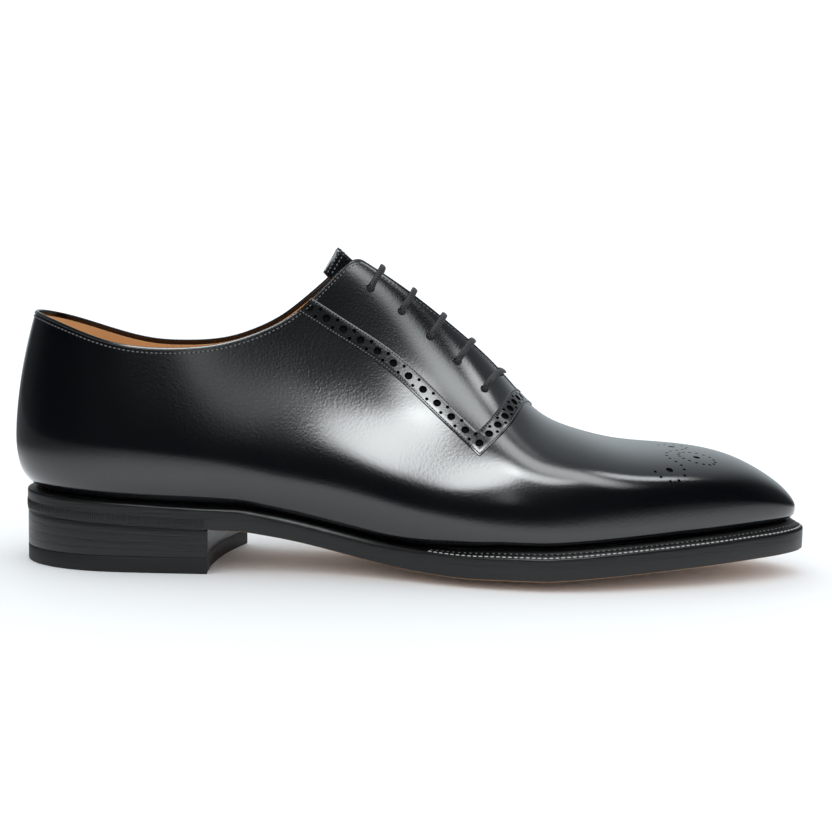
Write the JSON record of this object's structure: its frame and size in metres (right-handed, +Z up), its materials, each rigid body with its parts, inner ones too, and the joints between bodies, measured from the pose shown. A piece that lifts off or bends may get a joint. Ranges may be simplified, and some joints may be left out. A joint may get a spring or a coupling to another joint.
{
  "type": "brogue oxford",
  "caption": "Black lace-up dress shoe for the right foot: plain toe, punched band round the lace panel, leather sole and low stacked heel.",
  "frame": {"origin": "middle of the shoe's length and breadth, on the floor it stands on", "axes": "+X towards the toe, +Y towards the inner side of the foot, +Z up"},
  "size_m": [0.3064, 0.0987, 0.122],
  "materials": {
    "black_calf": "polished black calf",
    "band_calf": "polished black calf, punched",
    "tongue_calf": "soft black calf",
    "lining_leather": "natural tan, matt",
    "welt_leather": "black dyed, satin",
    "sole_leather": "oak-tanned, edge dyed black",
    "heel_leather": "stacked layers, black dyed, satin",
    "heel_rubber": "matt black",
    "lace_cord": "waxed round cord"
  },
  "bodies": {
    "root": {"upper": "black_calf", "brogue_band": "band_calf", "tongue": "tongue_calf", "insole": "lining_leather", "welt": "welt_leather", "outsole": "sole_leather", "heel_stack": "heel_leather", "heel_top_piece": "heel_rubber", "lace": "lace_cord"}
  },
  "joints": []
}
